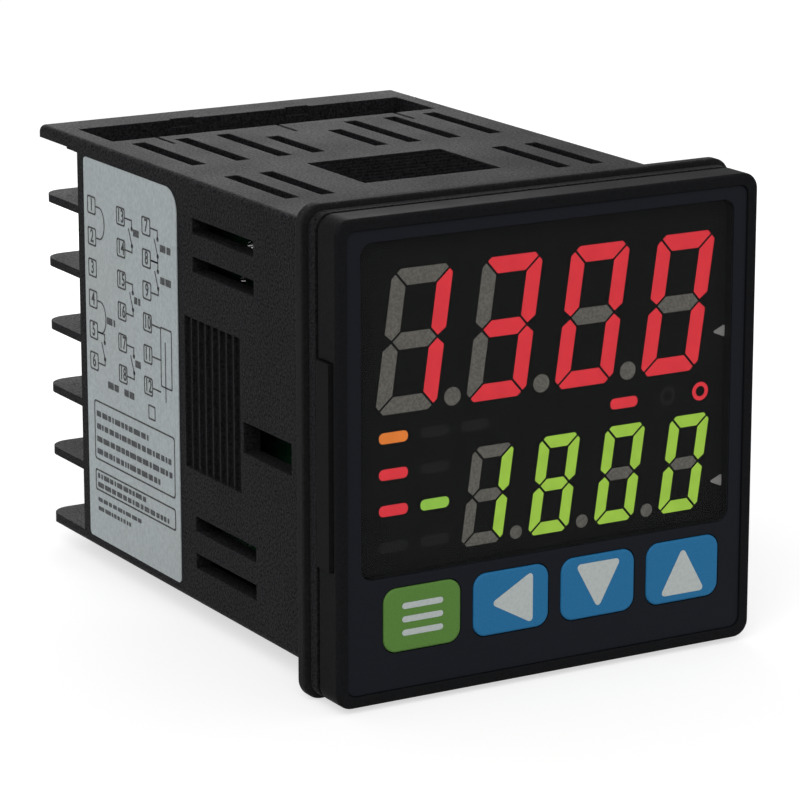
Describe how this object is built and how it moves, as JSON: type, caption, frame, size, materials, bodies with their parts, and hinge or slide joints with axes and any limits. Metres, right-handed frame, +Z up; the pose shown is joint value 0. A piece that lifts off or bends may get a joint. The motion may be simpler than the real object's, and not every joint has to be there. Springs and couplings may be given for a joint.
{
  "type": "panel temperature controller",
  "caption": "Square panel-mounted process controller: lit digital display and keys in front, vented case with ratchets, finned screw-terminal hood at the rear, sealing gasket and side latches.",
  "frame": {"origin": "middle of the panel seat, where the rear face of the gasket meets the panel", "axes": "+X to the right as the front is read, +Y from the front towards the terminals, +Z up"},
  "size_m": [0.049, 0.0683, 0.049],
  "materials": {
    "case": "fine spark-eroded texture",
    "gasket": "matte",
    "bezel": "fine texture",
    "overlay": "satin film",
    "window": "smoked, polished",
    "green_key": "satin",
    "blue_key": "satin",
    "switch": "moulded",
    "switch_body": "moulded",
    "red_light": "diffusing",
    "green_light": "diffusing",
    "orange_light": "diffusing",
    "dark_segment": "diffusing, unlit",
    "display_black": "matte",
    "board": "solder mask",
    "chip": "moulded",
    "can": "satin",
    "ferrite": "matte",
    "tape": "satin tape",
    "sleeve": "shrink sleeve",
    "relay": "moulded",
    "contact": "stamped",
    "plated": "zinc plated",
    "label": "matte print"
  },
  "bodies": {
    "controller": {"rear_case": "case", "panel_gasket": "gasket", "front_bezel": "bezel", "front_overlay": "overlay", "display_window": "window", "tactile_switches": "switch_body", "pv_segments_lit": "red_light", "pv_segments_dark": "dark_segment", "sv_segments_lit": "green_light", "sv_segments_dark": "dark_segment", "output_lamp": "orange_light", "alarm_lamps": "red_light", "setpoint_lamp": "green_light", "dark_lamps": "dark_segment", "display_housing": "display_black", "display_board": "board", "control_board": "board", "option_board": "board", "power_board": "board", "board_headers": "switch_body", "microcontroller": "chip", "clock_crystal": "can", "transformer_core": "ferrite", "transformer_winding": "tape", "supply_capacitors": "sleeve", "output_relays": "relay", "optocouplers": "chip", "terminal_contacts": "contact", "terminal_clamps": "plated", "terminal_screws": "plated", "wiring_label": "label"},
    "mode_key_body": {"mode_key": "green_key", "mode_plunger": "switch"},
    "shift_key_body": {"shift_key": "blue_key", "shift_plunger": "switch"},
    "down_key_body": {"down_key": "blue_key", "down_plunger": "switch"},
    "up_key_body": {"up_key": "blue_key", "up_plunger": "switch"},
    "latch_right": {"release_latch_right": "bezel"},
    "latch_left": {"release_latch_left": "bezel"}
  },
  "joints": [
    {"name": "mode_key_press", "type": "slide", "parent": "controller", "child": "mode_key_body", "axis": [0, 1, 0], "range_m": [0, 0.0003], "stiffness_N_per_m": 4000, "springref_m": -0.00005},
    {"name": "shift_key_press", "type": "slide", "parent": "controller", "child": "shift_key_body", "axis": [0, 1, 0], "range_m": [0, 0.0003], "stiffness_N_per_m": 4000, "springref_m": -0.00005},
    {"name": "down_key_press", "type": "slide", "parent": "controller", "child": "down_key_body", "axis": [0, 1, 0], "range_m": [0, 0.0003], "stiffness_N_per_m": 4000, "springref_m": -0.00005},
    {"name": "up_key_press", "type": "slide", "parent": "controller", "child": "up_key_body", "axis": [0, 1, 0], "range_m": [0, 0.0003], "stiffness_N_per_m": 4000, "springref_m": -0.00005},
    {"name": "latch_right_squeeze", "type": "slide", "parent": "controller", "child": "latch_right", "axis": [-1, 0, 0], "range_m": [0, 0.0007], "stiffness_N_per_m": 6000, "springref_m": -0.00005},
    {"name": "latch_left_squeeze", "type": "slide", "parent": "controller", "child": "latch_left", "axis": [1, 0, 0], "range_m": [0, 0.0007], "stiffness_N_per_m": 6000, "springref_m": -0.00005}
  ]
}
